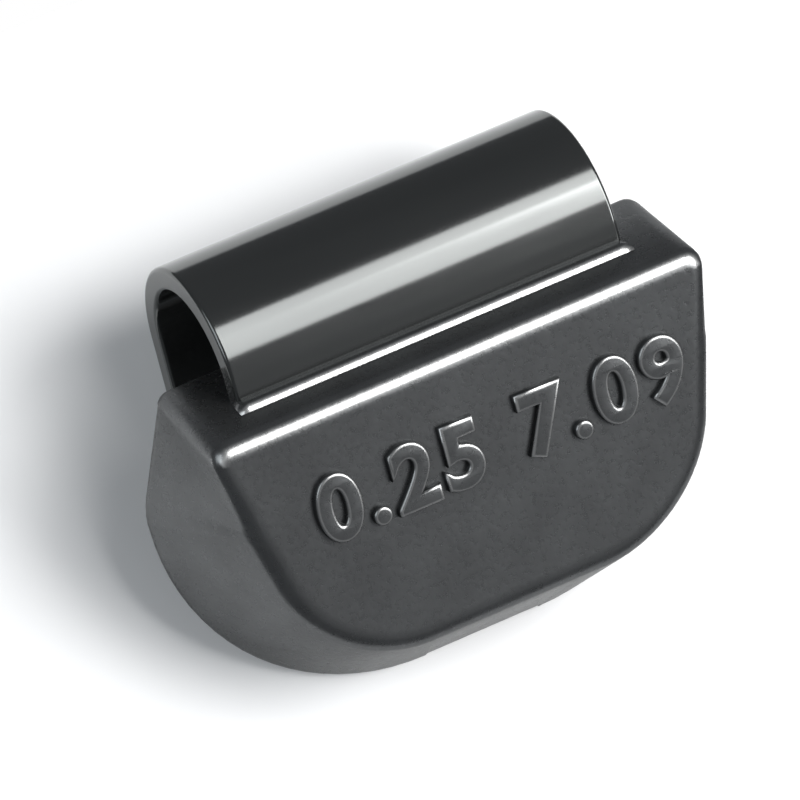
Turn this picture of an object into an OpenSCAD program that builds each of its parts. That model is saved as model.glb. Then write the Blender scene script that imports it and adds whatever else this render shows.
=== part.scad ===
// Clip-on balance weight for a steel wheel: a die-cast zinc body with a
// sprung steel clip cast into it. X runs along the rim, Y towards the tyre
// and Z away from the wheel's axle. The origin is the centre of the clip's
// bend, in the middle of its width, where the lip of the rim sits.

/* [Face] */
// Width of the front face along its top edge
face_w = 18; // [14:0.1:40]
// Height of the front face
face_h = 9.1; // [8.5:0.1:16]
// Radius of the two lower corners of the face
corner_r = 4.6; // [4:0.1:6]
// How much each side leans in towards the bottom
side_lean = 1.1; // [0:0.1:1.5]
// Radius of the rounded edge round the face
edge_r = 0.6; // [0.3:0.1:1]

/* [Back] */
// Depth of the top face from front to back
top_d = 4.7; // [4.5:0.1:8]
// Angle at which the top face rises towards the back
top_slope = 10; // [0:1:20]
// Depth from the face to the flat that seats on the rim
seat_d = 4.9; // [4.8:0.1:9]
// How far the skirt stands out past each side of the face
side_flare = 1.2; // [0.4:0.1:3]
// How far the skirt reaches below the face
bottom_flare = 2.7; // [1:0.1:5]
// Radius of the lower corners of the skirt
skirt_r = 8.8; // [6:0.1:9.5]
// Radius of the rounded edges of the skirt and the top
skirt_edge_r = 0.5; // [0.2:0.1:0.8]

/* [Gate recess] */
// Width of the recess where the casting gate was broken off
gate_w = 4.4; // [2:0.1:8]
// Depth of that recess
gate_d = 0.4; // [0.2:0.1:1]

/* [Collar] */
// How far the low collar of zinc stands out in front of the clip
collar_d = 0.35; // [0.2:0.05:0.6]
// How far it reaches up the front of the clip
collar_h = 0.45; // [0.2:0.05:0.6]

/* [Clip] */
// Width of the clip
clip_w = 14.2; // [8:0.1:18]
// Thickness of the strip
strip_t = 0.8; // [0.5:0.1:1.2]
// Inside radius of the bend that goes over the rim's lip
bend_r = 2.45; // [2:0.05:4]
// Distance from the face to the front of the clip
clip_back = 1.85; // [1.5:0.05:3]
// Straight stretch between the top face and the bend
neck_h = 0.65; // [0.2:0.05:3]
// Straight stretch of the leg behind the rim's lip
leg_h = 2.4; // [1:0.1:5]
// Length of the turned-out tip of that leg
tip_h = 0.7; // [0.3:0.1:1.5]
// Angle at which the tip turns out
tip_angle = 25; // [5:1:45]
// Inside radius of the bend before the tip
tip_bend_r = 1.2; // [0.6:0.1:2]

/* [Anchor] */
// How deep the strip goes into the casting
anchor_d = 6; // [5:0.1:8]
// Diameter of the holes that lock the strip in the casting
lock_dia = 2.2; // [1:0.1:3]
// Distance between the two lock holes
lock_gap = 7.6; // [4:0.1:12]
// Distance from the lower end of the strip to the centre of the holes
lock_rise = 2.4; // [2:0.1:3]

/* [Hidden] */
soft_fn = 32;
rim_step = 22.5;
curve_fn = 96;
cut = 1;

// Clip leg where it leaves the top face, measured from the face's top edge
neck_z = clip_back * tan(top_slope);
// Centre of the bend, measured from the face's top edge
bend_y = clip_back + strip_t + bend_r;
bend_z = neck_z + neck_h;
// The collar's front edge takes this share of its smaller size as its radius
collar_round = 0.8;
collar_r = collar_round * min(collar_d, collar_h);
// Radius of the two upper corners, which only just clear the rounded edge
brow_clear = 0.2;
brow_r = max(edge_r, skirt_edge_r) + brow_clear;
// Height of the whole body below the top edge of the face
skirt_h = face_h + bottom_flare;
skirt_half_w = face_w / 2 + side_flare;

// Section of a disc from its axis out to a rim rounded at the front
function rim_section(r, rim_r) = concat(
    [[0, 0]],
    [for (a = [0:rim_step:90]) [r - rim_r * (1 - sin(a)), rim_r * (1 - cos(a))]],
    [[0, rim_r]]);

// A disc facing the front, or the lower half of one, with a rounded rim
module disc(r, rim_r, turn = 360) {
    rotate([-90, 0, 0])
        rotate_extrude(angle = turn, $fn = 2 * soft_fn)
            polygon(rim_section(r, rim_r));
}

// The rounded front outline, with its two large lower corners
module face_outline() {
    for (side = [-1, 1]) {
        translate([side * (face_w / 2 - brow_r), 0, -brow_r])
            disc(brow_r, edge_r);
        translate([side * (face_w / 2 - side_lean - corner_r), 0, corner_r - face_h])
            disc(corner_r, edge_r, 180);
    }
}

// The larger outline behind it, which seats on the wall of the rim
module skirt_outline() {
    translate([0, seat_d, 0])
        mirror([0, 1, 0])
            for (side = [-1, 1])
                translate([side * (skirt_half_w - skirt_r), 0, skirt_r - skirt_h])
                    disc(skirt_r, skirt_edge_r, 180);
}

// The back edge of the top face, just under the lip of the rim
module top_back_edge() {
    rotate([top_slope, 0, 0])
        for (side = [-1, 1])
            translate([side * (face_w / 2 - brow_r), top_d, -brow_r])
                mirror([0, 1, 0]) disc(brow_r, skirt_edge_r);
}

module casting() {
    hull() {
        face_outline();
        skirt_outline();
        top_back_edge();
    }
}

// Shallow recess across the bottom of the skirt, left by the casting gate
module gate_recess() {
    translate([-gate_w / 2, -cut, -skirt_h - cut])
        cube([gate_w, seat_d + 2 * cut, gate_d + cut]);
}

// Section of the collar, from inside the strip to its round front edge
function collar_section() = concat(
    [[strip_t / 2, -cut], [strip_t / 2, collar_h]],
    [for (a = [0:rim_step / 2:90])
        [collar_r * (1 - sin(a)) - collar_d, collar_h - collar_r * (1 - cos(a))]],
    [[-collar_d, -cut]]);

// Where zinc has flowed up along the front of the strip
module collar() {
    translate([0, clip_back, neck_z])
        rotate([90, 0, 90])
            linear_extrude(clip_w + collar_d, center = true)
                polygon(collar_section());
}

// A straight stretch of strip, running up from the origin
module straight_strip(len) {
    translate([-clip_w / 2, 0, 0]) cube([clip_w, strip_t, len]);
}

// A stretch of strip bent by angle a about an axis that lies behind it
module bent_strip(r, a) {
    translate([0, strip_t + r, 0])
        rotate([90, 0, -90])
            rotate_extrude(angle = a, $fn = curve_fn)
                translate([r, -clip_w / 2]) square([strip_t, clip_w]);
}

// Carries its children to the end of a bend of that radius and angle
module after_bend(r, a) {
    translate([0, strip_t + r, 0])
        rotate([-a, 0, 0])
            translate([0, -strip_t - r, 0])
                children();
}

// The leg behind the lip: straight down, then turned out at the tip
module rear_leg() {
    straight_strip(leg_h);
    translate([0, strip_t, leg_h])
        mirror([0, 1, 0]) {
            bent_strip(tip_bend_r, tip_angle);
            after_bend(tip_bend_r, tip_angle) straight_strip(tip_h);
        }
}

// The whole strip, from its lower end in the casting to the tip
module strip() {
    translate([0, clip_back, bend_z]) {
        mirror([0, 0, 1]) straight_strip(neck_h + anchor_d);
        bent_strip(bend_r, 180);
        after_bend(bend_r, 180) rear_leg();
    }
}

// The zinc that runs through the holes in the strip
module lock_pins() {
    for (side = [-1, 1])
        translate([side * lock_gap / 2, clip_back - cut / 2, neck_z - anchor_d + lock_rise])
            rotate([-90, 0, 0])
                cylinder(h = strip_t + cut, d = lock_dia, $fn = curve_fn);
}

// Puts the origin at the centre of the bend
module from_bend() {
    translate([0, -bend_y, -bend_z]) children();
}

module weight_body() {
    color([0.42, 0.43, 0.44])
        from_bend()
            difference() {
                union() {
                    casting();
                    collar();
                }
                gate_recess();
                difference() {
                    strip();
                    lock_pins();
                }
            }
}

module spring_clip() {
    color([0.2, 0.21, 0.21])
        from_bend()
            difference() {
                strip();
                lock_pins();
            }
}

weight_body();
spring_clip();
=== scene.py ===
# %% [markdown]
# # A clip-on balance weight
# A small die-cast zinc weight hangs on the lip of a steel wheel by a sprung
# steel clip. The lesson dresses the two solids of the CAD frame: it gives the
# casting its soft edges, the clip its rolled bend, and both a real finish.
# The frame is opened first.

# %% Open the frame
import math

import bmesh
import bpy
from mathutils import Matrix, Vector


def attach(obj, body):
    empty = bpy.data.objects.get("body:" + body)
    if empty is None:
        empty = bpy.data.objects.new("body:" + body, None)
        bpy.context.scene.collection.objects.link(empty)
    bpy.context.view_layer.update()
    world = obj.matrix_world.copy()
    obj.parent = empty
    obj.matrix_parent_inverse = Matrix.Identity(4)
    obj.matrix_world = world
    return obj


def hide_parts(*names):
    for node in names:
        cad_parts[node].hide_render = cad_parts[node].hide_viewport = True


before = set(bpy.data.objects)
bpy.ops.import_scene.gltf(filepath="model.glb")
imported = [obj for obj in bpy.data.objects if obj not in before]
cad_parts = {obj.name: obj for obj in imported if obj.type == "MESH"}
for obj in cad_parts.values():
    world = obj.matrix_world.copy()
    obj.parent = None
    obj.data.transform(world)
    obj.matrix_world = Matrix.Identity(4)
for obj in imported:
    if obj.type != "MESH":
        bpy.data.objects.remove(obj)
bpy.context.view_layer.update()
mm = 0.001

# %% [markdown]
# ## The camera
# The weight is seen from its upper left, with the camera tilted a little. Such
# a view could be set by hand in the viewport. Here it is built from three
# angles, so that it stays the same in every run: azimuth, elevation and roll.
# A long lens keeps the lines of so small a thing nearly parallel.

# %% Camera directions
azimuth, elevation, roll = (math.radians(a) for a in (20.5, 23.3, 14.6))
forward = Vector((math.sin(azimuth) * math.cos(elevation),
                  math.cos(azimuth) * math.cos(elevation), -math.sin(elevation)))
level = Vector((math.cos(azimuth), -math.sin(azimuth), 0))
down = forward.cross(level)
right = math.cos(roll) * level + math.sin(roll) * down
down = forward.cross(right)
print("the picture's right is", right, "and its down", down)

# %% [markdown]
# ## Where the camera stands
# The picture is centred on a point a little left of and below the middle of the
# face's top edge. The lens and the width that it has to see, both in
# millimetres, then say how far away the camera stands.

# %% Camera
face_y, face_z = -5.1, -0.976
left_by, below_by, behind_by = 1.91, 1.6, 2.5
seen_width = 25.81 * mm
lens = bpy.data.cameras.new("view")
lens.lens, lens.sensor_width = 500, 36
lens.clip_start, lens.clip_end = 0.01, 10
camera = bpy.data.objects.new("view", lens)
bpy.context.scene.collection.objects.link(camera)
bpy.context.scene.camera = camera
face_top = Vector((0, face_y, face_z)) * mm
aim = face_top - right * left_by * mm + down * below_by * mm + forward * behind_by * mm
distance = seen_width / 2 / (lens.sensor_width / 2 / lens.lens)
turn = Matrix((right, -down, -forward)).transposed().to_4x4()
camera.matrix_world = Matrix.Translation(aim - forward * distance) @ turn
print("camera stands", round(distance / mm), "mm away")

# %% [markdown]
# ## The surface
# In the picture the weight lies on its back on a plain pale surface, resting
# on the tip of the clip and the lower back edge. The frame keeps the weight
# upright, so here the surface is turned instead. It is a small card, because
# polished metal would mirror a large one, and it casts no shadow, so that the
# back of the weight can be looked at as well.

# %% Surface
lean = math.radians(23.7)
tip_back = Vector((0, 3.658, -3.541)) * mm
card_half, card_share, card_drop = 20 * mm, 0.93, 4.6 * mm
card = bmesh.new()
bmesh.ops.create_grid(card, x_segments=4, y_segments=4, size=card_half)
bmesh.ops.scale(card, verts=card.verts, vec=(1, card_share, 1))
bmesh.ops.translate(card, verts=card.verts, vec=(0, -card_drop, 0))
bmesh.ops.rotate(card, verts=card.verts, cent=(0, 0, 0),
                 matrix=Matrix.Rotation(math.pi / 2 - lean, 3, "X"))
bmesh.ops.translate(card, verts=card.verts, vec=tip_back)
floor_mesh = bpy.data.meshes.new("floor")
card.to_mesh(floor_mesh)
card.free()
floor = bpy.data.objects.new("floor", floor_mesh)
bpy.context.scene.collection.objects.link(floor)
floor.visible_shadow = False
print("the surface leans", round(math.degrees(lean), 1), "degrees")

# %% [markdown]
# ## The surface's paint
# The front of the card is matt and nearly white. From behind it is clear: a
# Mix Shader picks between paint and a transparent shader by the side that is
# seen, so a camera behind the card still sees the weight.

# %% Surface paint
pale = bpy.data.materials.new("pale_floor")
pale.use_nodes = True
nodes, link = pale.node_tree.nodes, pale.node_tree.links.new
paint = nodes["Principled BSDF"]
paint.inputs["Base Color"].default_value = (0.9, 0.9, 0.9, 1)
paint.inputs["Roughness"].default_value = 0.9
side, clear, either = (nodes.new(kind) for kind in (
    "ShaderNodeNewGeometry", "ShaderNodeBsdfTransparent", "ShaderNodeMixShader"))
link(side.outputs["Backfacing"], either.inputs["Fac"])
link(paint.outputs["BSDF"], either.inputs[1])
link(clear.outputs["BSDF"], either.inputs[2])
link(either.outputs["Shader"], nodes["Material Output"].inputs["Surface"])
floor_mesh.materials.append(pale)
print(pale.name, "has", len(nodes), "nodes")

# %% [markdown]
# ## Soft studio light
# Polished metal shows its surroundings more than its own colour, so each light
# is placed for what mirrors it. A bright strip above the front draws the broad
# band along the roll of the clip and the thin line on the brow. A softbox at
# the right throws the shadow to the left, one at the left opens it a little,
# and a faint large one below fills the face. The one behind is for the views of
# the back. Area lights have a size, unlike a point light, and that is what
# makes their edges and shadows soft. Distances and sizes are in metres.

# %% Lights
def softbox(name, direction, away, width, height, radiance, tint=(1, 1, 1)):
    """An area light in that direction from the weight, facing it."""
    light = bpy.data.lights.new(name, "AREA")
    light.shape, light.size, light.size_y = "RECTANGLE", width, height
    light.energy = radiance * math.pi * width * height
    light.color = tint
    box = bpy.data.objects.new(name, light)
    bpy.context.scene.collection.objects.link(box)
    box.visible_camera = False
    towards = Vector(direction).normalized()
    box.matrix_world = (Matrix.Translation(towards * away)
                        @ towards.to_track_quat("Z", "Y").to_matrix().to_4x4())
    print(name, "gives", round(light.energy, 3), "W")


softbox("front_strip", (0.32, -0.8, 0.465), 0.30, 0.14, 0.19, radiance=5.1)
softbox("right_softbox", (0.62, -0.75, 0.17), 0.35, 0.18, 0.32, radiance=7.2)
softbox("left_softbox", (-0.8, -0.4, 0.42), 0.35, 0.25, 0.25, radiance=2.2,
        tint=(0.9, 0.96, 1))
softbox("low_softbox", (0.33, -0.86, -0.4), 0.40, 0.45, 0.45, radiance=0.17)
softbox("back_softbox", (-0.6, 0.8, -0.15), 0.40, 0.3, 0.2, radiance=7)

# %% [markdown]
# ## The world
# A dim world keeps the top of the clip dark, but the camera has to see a white
# one, as pale as the card. A Light Path node tells the camera's own rays from
# those that light the weight, and each kind gets its own background.

# %% World
world = bpy.data.worlds.new("studio")
world.use_nodes = True
bpy.context.scene.world = world
nodes, link = world.node_tree.nodes, world.node_tree.links.new
dim, shown = nodes["Background"], nodes.new("ShaderNodeBackground")
dim.inputs["Color"].default_value = (0.9, 0.94, 1, 1)
dim.inputs["Strength"].default_value = 0.17
shown.inputs["Color"].default_value = (1, 1, 1, 1)
seen, either = nodes.new("ShaderNodeLightPath"), nodes.new("ShaderNodeMixShader")
link(seen.outputs["Is Camera Ray"], either.inputs["Fac"])
link(dim.outputs["Background"], either.inputs[1])
link(shown.outputs["Background"], either.inputs[2])
link(either.outputs["Shader"], nodes["World Output"].inputs["Surface"])
bpy.context.scene.view_settings.view_transform = "Standard"
print(world.name, "has", len(nodes), "nodes")

# %% [markdown]
# ## From a bmesh to a piece
# Every piece is drawn in millimetres, in the frame's own place, and made real
# by one helper: it merges doubles, turns the faces outwards, scales to metres,
# and lets the piece ride with the weight. The object itself stays at the
# origin. The zinc and the spring steel get their nodes further down.

# %% Piece helper
double_gap = 0.0005


def make_piece(bm, name, material):
    """A piece of the weight from a bmesh in millimetres."""
    bmesh.ops.remove_doubles(bm, verts=bm.verts, dist=double_gap)
    bmesh.ops.recalc_face_normals(bm, faces=bm.faces)
    bmesh.ops.scale(bm, vec=(mm, mm, mm), verts=bm.verts)
    for face in bm.faces:
        face.smooth = True
    mesh = bpy.data.meshes.new(name)
    bm.to_mesh(mesh)
    open_edges = sum(not e.is_manifold for e in bm.edges)
    bm.free()
    mesh.materials.append(material)
    piece = bpy.data.objects.new(name, mesh)
    bpy.context.scene.collection.objects.link(piece)
    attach(piece, "root")
    print(name, len(mesh.polygons), "faces,", open_edges, "open edges")
    return piece


zinc = bpy.data.materials.new("coated_casting")
spring = bpy.data.materials.new("coated_spring")
print("the finishes are", zinc.name, "and", spring.name)

# %% [markdown]
# ## The outlines of the casting
# The casting is a U-shaped block: a smaller outline in front and a larger one
# behind it, joined by drafted walls. Each outline starts as a polygon whose
# corners are bevelled, so that its arcs keep the same number of points, and
# the two can be bridged with clean four-sided faces. The casting is drawn with
# the top of its face at the origin, and moved to its place when it is done.

# %% Outlines
touching = 1e-4


def outline(bm, depth, corners):
    """A closed outline at that depth. A corner is (x, z, reach, parts)."""
    ring = [(side * x, z, reach, parts)
            for side, row in ((-1, corners), (1, corners[::-1]))
            for x, z, reach, parts in row]
    bm.faces.new([bm.verts.new((x, depth, z)) for x, z, reach, parts in ring])
    for x, z, reach, parts in ring:
        corner = min(bm.verts, key=lambda v: (v.co - Vector((x, depth, z))).length)
        bmesh.ops.bevel(bm, geom=[corner], offset=reach, offset_type="OFFSET",
                        affect="VERTICES", segments=parts, profile=0.5, material=-1)
    return [e for e in bm.edges
            if all(abs(v.co.y - depth) < touching for v in e.verts)]


back_depth = 4.9
front_corners = [(9.24, 0, 0.9, 6), (8.36, -3.34, 0.5, 3), (6.85, -9.1, 3.54, 20)]
back_corners = [(8.8, 0.83, 0.4, 6), (10.33, -3, 0.5, 3), (10.33, -11.93, 8.3, 20)]
body = bmesh.new()
front = outline(body, 0, front_corners)
back = outline(body, back_depth, back_corners)
bmesh.ops.bridge_loops(body, edges=front + back)
bmesh.ops.recalc_face_normals(body, faces=body.faces)
print(len(front), "edges in front,", len(back), "behind,", len(body.faces), "faces")

# %% [markdown]
# ## Soft edges
# No edge of a casting is sharp. The upper back leans forward a little first,
# and then the back edge and the front edge are rounded all round, each with a
# bevel of several segments. The edges are picked by where they lie and how
# sharply they turn, because a bevel renumbers them.

# %% Rounded rims
def round_rim(bm, edges, radius, parts):
    """Rounds those edges of the casting."""
    print("rounding", len(edges), "edges by", radius, "mm")
    bmesh.ops.bevel(bm, geom=edges, offset=radius, offset_type="OFFSET",
                    affect="EDGES", segments=parts, profile=0.5, material=-1,
                    clamp_overlap=True)


behind, sharp = 4.5, 0.8
back_lean, lean_from = 0.0625, -3.5
for v in body.verts:
    if v.co.y > behind and v.co.z > lean_from:
        v.co.y -= (v.co.z - lean_from) * back_lean
round_rim(body, [e for e in body.edges if len(e.link_faces) == 2
                 and all(v.co.y > behind for v in e.verts)
                 and e.calc_face_angle(0) > sharp], radius=0.55, parts=5)
round_rim(body, [e for e in body.edges
                 if all(abs(v.co.y) < touching for v in e.verts)], radius=0.5, parts=6)

# %% [markdown]
# ## Brow wear with painted highlight, and flat plates
# The coat is thinnest on the brow, and a highlight is painted there as well:
# each point stores a share of bright base colour as an attribute, which the
# finish reads further down. The points that are turned by about 30 degrees from
# the face get the most, because the front strip's reflection falls there, so
# this colour is partly wear and partly painted highlight. Smooth shading bends
# the light over long faces too, so a thin inset ring round each flat plate and a
# cut near each end keep them flat. A cut first parts the back where its lean
# begins.

# %% Wear, painted highlight and flat plates
brow_turn = 0.85


def mark_wear_and_sheen(bm, depth, low=-99, spread=0.14):
    """Stores wear and painted highlight for points before that depth, above low."""
    wear_and_sheen = bm.verts.layers.float.new("wear_and_sheen")
    bm.normal_update()
    for v in bm.verts:
        share = (v.co.y < depth) * (v.co.z > low)
        # Bright colour peaks at the turn brow_turn, where the front light mirrors: a
        # painted highlight on top of wear.
        v[wear_and_sheen] = max(0, 1 - abs(-v.normal.y - brow_turn) / spread) * share
    print(sum(v[wear_and_sheen] > 0.5 for v in bm.verts), "worn points of", len(bm.verts))


def slice_all(bm, point, normal):
    """Cuts new edges into every face that the plane crosses."""
    bmesh.ops.bisect_plane(bm, geom=bm.verts[:] + bm.edges[:] + bm.faces[:],
                           dist=touching, plane_co=point, plane_no=normal)


flat, large = 0.995, 1
ring_width, end_cut = 0.1, 8.1
mark_wear_and_sheen(body, 0.45, low=-0.6)
slice_all(body, (0, 0, lean_from), (0, 0, 1))
body.normal_update()
plates = [f for f in body.faces if abs(f.normal.y) > flat and f.calc_area() > large]
bmesh.ops.inset_region(body, faces=plates, thickness=ring_width, use_even_offset=True)
for x in (-end_cut, end_cut):
    slice_all(body, (x, 0, 0), (1, 0, 0))
print(len(plates), "flat plates,", len(body.faces), "faces in all")

# %% [markdown]
# ## The gate recess
# Where the metal ran into the mould, the gate was broken off in a shallow
# recess across the bottom of the skirt. The walls are sliced with the same
# helper as before, and the points between the cuts are lifted to its floor.

# %% Gate recess
gate_half, gate_side, gate_floor, lifted_half = 2.2, 0.15, -11.4, 2.1
for x in (-gate_half, gate_side - gate_half, gate_half - gate_side, gate_half):
    slice_all(body, (x, 0, 0), (1, 0, 0))
slice_all(body, (0, 0, gate_floor), (0, 0, 1))
for v in body.verts:
    if abs(v.co.x) < lifted_half and v.co.z < gate_floor:
        v.co.z = gate_floor
bmesh.ops.translate(body, verts=body.verts, vec=(0, face_y, face_z))
casting = make_piece(body, "casting", zinc)
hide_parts("weight_body")

# %% [markdown]
# ## The collar
# Zinc has flowed up round the strip where it leaves the casting, and stands
# there as a low collar with a round edge, which shines as a thin line; a
# painted highlight on that edge makes the line brighter. A bevelled block that
# sinks into the top face has that shape.

# %% Collar
collar_size, collar_place = (14.55, 0.85, 1.0), (0, -3.325, -0.95)
collar_round, collar_cut = 0.36, 6.9
collar = bmesh.new()
bmesh.ops.create_cube(collar, size=1)
bmesh.ops.scale(collar, vec=collar_size, verts=collar.verts)
bmesh.ops.bevel(collar, geom=[e for e in collar.edges
                              if all(v.co.z > 0 for v in e.verts)],
                offset=collar_round, offset_type="OFFSET", affect="EDGES",
                segments=6, profile=0.5, material=-1)
for x in (-collar_cut, collar_cut):
    slice_all(collar, (x, 0, 0), (1, 0, 0))
# The round edge gets the bright colour of a painted highlight, together with wear.
mark_wear_and_sheen(collar, 1, spread=0.35)
bmesh.ops.translate(collar, verts=collar.verts, vec=collar_place)
make_piece(collar, "collar", zinc)

# %% [markdown]
# ## Pulling and rolling a strip
# The clip is one flat strip of steel, rolled over the lip of the rim. It is
# made as the press makes it, from one end to the other. One helper extrudes the
# end of the strip straight on, and the other spins it round the axis of a bend.
# Both give back the new end, for the next step.

# %% Strip helpers
def last_face(out):
    """The face at the end of what an operator made."""
    return [g for g in out if isinstance(g, bmesh.types.BMFace)]


def pull(bm, faces, vec):
    """Extrudes the end of the strip by a vector."""
    out = bmesh.ops.extrude_face_region(bm, geom=faces)["geom"]
    bmesh.ops.translate(bm, vec=vec,
                        verts=[g for g in out if isinstance(g, bmesh.types.BMVert)])
    return last_face(out)


def roll_round(bm, faces, centre, angle, steps):
    """Spins the end of the strip round an axis along X."""
    out = bmesh.ops.spin(bm, geom=faces, cent=centre, axis=(-1, 0, 0), dvec=(0, 0, 0),
                         angle=angle, steps=steps, use_merge=False,
                         use_normal_flip=False, use_duplicate=False)["geom_last"]
    return last_face(out)


strip_half, outer, inner = 7.1, 3.25, 2.45
print("the strip is", round(outer - inner, 2), "mm thick,", 2 * strip_half, "wide")

# %% [markdown]
# ## The spring clip
# The strip starts at its foot, cast deep into the zinc as an anchor. It is
# pulled up, rolled half a turn over the lip and pulled down the far side, where
# the tip turns out. Each step leaves its starting face inside the metal, so
# those are deleted. A Bevel modifier breaks the sheared edges.

# %% Clip
zinc_top, anchor = -0.65, 6
foot = zinc_top - anchor
rear_leg, tip_reach, tip_length = 2.4, 1.2, 0.7
tip_turn = math.radians(25)
strip = bmesh.new()
end = [strip.faces.new([strip.verts.new(p) for p in (
    (-strip_half, -outer, foot), (strip_half, -outer, foot),
    (strip_half, -inner, foot), (-strip_half, -inner, foot))])]
end = pull(strip, end, (0, 0, -foot))
end = roll_round(strip, end, (0, 0, 0), math.pi, 60)
end = pull(strip, end, (0, 0, -rear_leg))
end = roll_round(strip, end, (0, outer + tip_reach, -rear_leg), -tip_turn, 8)
pull(strip, end, (0, tip_length * math.sin(tip_turn), -tip_length * math.cos(tip_turn)))
inside = [f for f in strip.faces if all(len(e.link_faces) > 2 for e in f.edges)]
bmesh.ops.delete(strip, geom=inside, context="FACES_ONLY")
clip = make_piece(strip, "clip", spring)
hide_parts("spring_clip")
sheared = clip.modifiers.new("sheared_edges", "BEVEL")
sheared.width, sheared.segments = 0.14 * mm, 3
sheared.limit_method, sheared.angle_limit = "ANGLE", math.radians(40)
sheared.harden_normals = True

# %% [markdown]
# ## The shape of the figures
# The face carries raised figures for the mass, in ounces and in grams. Text
# gives their shape, with a little depth and a soft bevel, and is made a mesh
# before anything else is done to it.

# %% Text
thick, soft = 0.05, 0.04
letters = bpy.data.curves.new("figures", "FONT")
letters.body = "0.25 7.09"
letters.size, letters.space_character = 1, 1.18
letters.offset, letters.extrude = 0.012, thick
letters.bevel_depth, letters.bevel_resolution = soft, 3
draft = bpy.data.objects.new("draft", letters)
bpy.context.scene.collection.objects.link(draft)
bpy.context.view_layer.update()
text_mesh = bpy.data.meshes.new_from_object(
    draft.evaluated_get(bpy.context.evaluated_depsgraph_get()))
bpy.data.objects.remove(draft)
raised = bmesh.new()
raised.from_mesh(text_mesh)
bpy.data.meshes.remove(text_mesh)
print("the text has", len(raised.faces), "faces")

# %% [markdown]
# ## The raised figures
# The mesh is centred, sized, stood up and set on the face, half sunk into it.
# Its height gives the scale, so the figures keep their proportions, while the
# depth is scaled by itself to the relief.

# %% Figures
tall, relief = 2.5, 0.25
off_middle, below_top = 0.6, 2.15
xs, ys = [v.co.x for v in raised.verts], [v.co.y for v in raised.verts]
wide, high = max(xs) - min(xs), max(ys) - min(ys)
bmesh.ops.translate(raised, verts=raised.verts, vec=(-min(xs) - wide / 2, -max(ys), 0))
bmesh.ops.scale(raised, verts=raised.verts,
                vec=(tall / high, tall / high, relief / (thick + soft)))
bmesh.ops.rotate(raised, verts=raised.verts, cent=(0, 0, 0),
                 matrix=Matrix.Rotation(math.pi / 2, 3, "X"))
bmesh.ops.translate(raised, verts=raised.verts,
                    vec=(off_middle, face_y, face_z - below_top))
bmesh.ops.remove_doubles(raised, verts=raised.verts, dist=double_gap)
# The bevels of the figures get the same bright colour: wear together with a painted
# highlight.
mark_wear_and_sheen(raised, 0)
make_piece(raised, "figures", zinc)
print("figures are", round(wide * tall / high, 1), "mm wide")

# %% [markdown]
# ## Shared grain
# Both finishes have a fine uneven surface, one coarser than the other. Such an
# effect is built once as a node group, with its scale as an input, and each
# material reads its mask and its height from it. Stretch draws it out along the
# width of the weight. The broad noise is the fine one at an eighth of its scale.

# %% Grain group
def add(tree, kind, **values):
    """A new node, with values for its inputs or its settings."""
    node = tree.nodes.new(kind)
    for key, value in values.items():
        if key in node.inputs:
            node.inputs[key].default_value = value
        else:
            setattr(node, key, value)
    return node


grain = bpy.data.node_groups.new("metal_grain", "ShaderNodeTree")
for name in ("Scale", "Stretch"):
    socket = grain.interface.new_socket(name, in_out="INPUT",
                                        socket_type="NodeSocketFloat")
    socket.default_value = 1
for name in ("Fine", "Broad"):
    grain.interface.new_socket(name, in_out="OUTPUT", socket_type="NodeSocketFloat")
g_in, g_out = add(grain, "NodeGroupInput"), add(grain, "NodeGroupOutput")
place = add(grain, "ShaderNodeTexCoord")
shape = add(grain, "ShaderNodeCombineXYZ", Y=1.0, Z=1.0)
scaled = add(grain, "ShaderNodeVectorMath", operation="MULTIPLY")
fine = add(grain, "ShaderNodeTexNoise", Detail=4.0, Roughness=0.6)
broad = add(grain, "ShaderNodeTexNoise", Detail=3.0, Roughness=0.5)
coarser = add(grain, "ShaderNodeMath", operation="MULTIPLY")
coarser.inputs[1].default_value = 0.12
link = grain.links.new
link(g_in.outputs["Stretch"], shape.inputs["X"])
link(place.outputs["Object"], scaled.inputs[0])
link(shape.outputs[0], scaled.inputs[1])
link(scaled.outputs[0], fine.inputs["Vector"])
link(scaled.outputs[0], broad.inputs["Vector"])
link(g_in.outputs["Scale"], fine.inputs["Scale"])
link(g_in.outputs["Scale"], coarser.inputs[0])
link(coarser.outputs[0], broad.inputs["Scale"])
link(fine.outputs["Fac"], g_out.inputs["Fine"])
link(broad.outputs["Fac"], g_out.inputs["Broad"])
print("grain group has", len(grain.nodes), "nodes")
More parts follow.
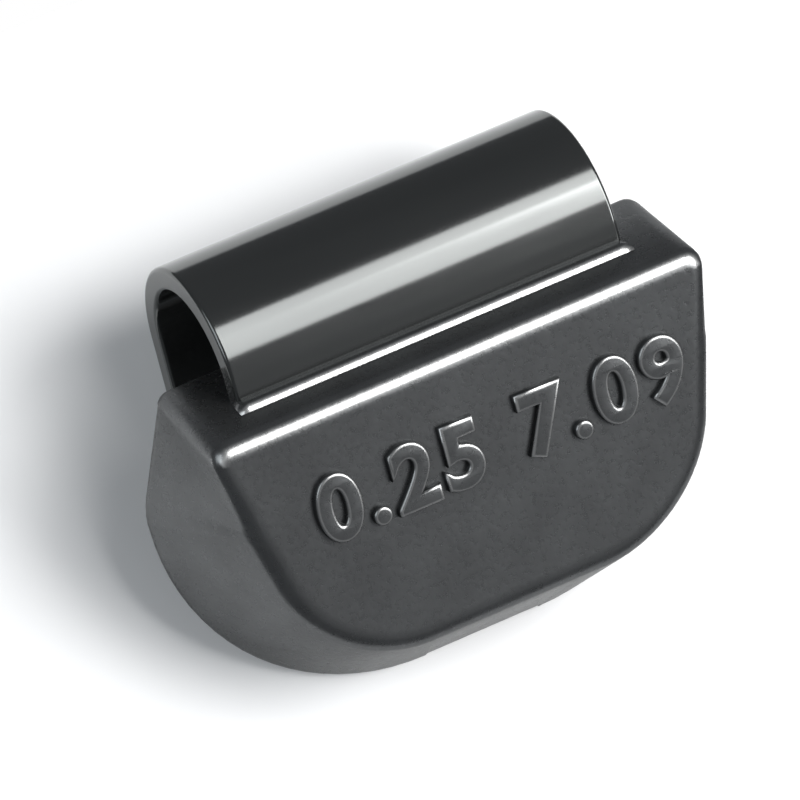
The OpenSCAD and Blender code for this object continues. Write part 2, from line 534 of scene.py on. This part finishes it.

# %% [markdown]
# ## The two finishes
# The casting wears a thin dark grey coat, satin and slightly orange-peeled,
# with bright base colour on its edges that is partly rubbed metal and partly
# painted highlight. The clip's coat is glossier, on smooth rolled steel with its
# grain along the axis of the bend. Both are a Principled shader with the grain
# group in its colour, roughness and bump.
# Metal brightens where it is seen at a glancing angle, and Specular Tint holds
# that back on the coat of the casting.

# %% Finishes
def coated_metal(material, dark, light, wear_and_sheen, metallic, rim, rough, scale, stretch,
                 bump):
    """Fills a material: two tones, a roughness range and a bump in millimetres."""
    material.use_nodes = True
    tree = material.node_tree
    shader = tree.nodes["Principled BSDF"]
    shader.inputs["Metallic"].default_value = metallic
    shader.inputs["Specular Tint"].default_value = (rim, rim, rim, 1)
    group = add(tree, "ShaderNodeGroup", node_tree=grain)
    group.inputs["Scale"].default_value = scale
    group.inputs["Stretch"].default_value = stretch
    tone = add(tree, "ShaderNodeValToRGB")
    for stop, at, colour in zip(tone.color_ramp.elements, (0.35, 0.65),
                                (dark, light)):
        stop.position, stop.color = at, (*colour, 1)
    gloss = add(tree, "ShaderNodeMapRange")
    for socket, value in zip(("From Min", "From Max", "To Min", "To Max"),
                             (0.3, 0.7, *rough)):
        gloss.inputs[socket].default_value = value
    relief = add(tree, "ShaderNodeBump", Strength=0.5, Distance=bump * mm)
    edge = add(tree, "ShaderNodeAttribute", attribute_name="wear_and_sheen")
    bare_and_sheen = add(tree, "ShaderNodeMix", data_type="RGBA")
    bare_and_sheen.inputs["B"].default_value = (*wear_and_sheen, 1)
    link = tree.links.new
    link(edge.outputs["Fac"], bare_and_sheen.inputs["Factor"])
    link(group.outputs["Broad"], tone.inputs["Fac"])
    link(tone.outputs["Color"], bare_and_sheen.inputs["A"])
    link(bare_and_sheen.outputs["Result"], shader.inputs["Base Color"])
    link(group.outputs["Fine"], gloss.inputs["Value"])
    link(gloss.outputs["Result"], shader.inputs["Roughness"])
    link(group.outputs["Fine"], relief.inputs["Height"])
    link(relief.outputs["Normal"], shader.inputs["Normal"])
    print(material.name, "has", len(tree.nodes), "nodes")


# The casting's light edge colour is wear and a painted highlight together.
coated_metal(zinc, dark=(0.105, 0.108, 0.11), light=(0.12, 0.124, 0.126),
             wear_and_sheen=(0.8, 0.8, 0.79), metallic=0.85, rim=0.45, rough=(0.25, 0.33),
             scale=4500, stretch=1, bump=0.012)
coated_metal(spring, dark=(0.1, 0.104, 0.103), light=(0.12, 0.124, 0.122),
             wear_and_sheen=(0.2, 0.2, 0.2), metallic=0.9, rim=1, rough=(0.12, 0.15),
             scale=2500, stretch=0.15, bump=0.002)
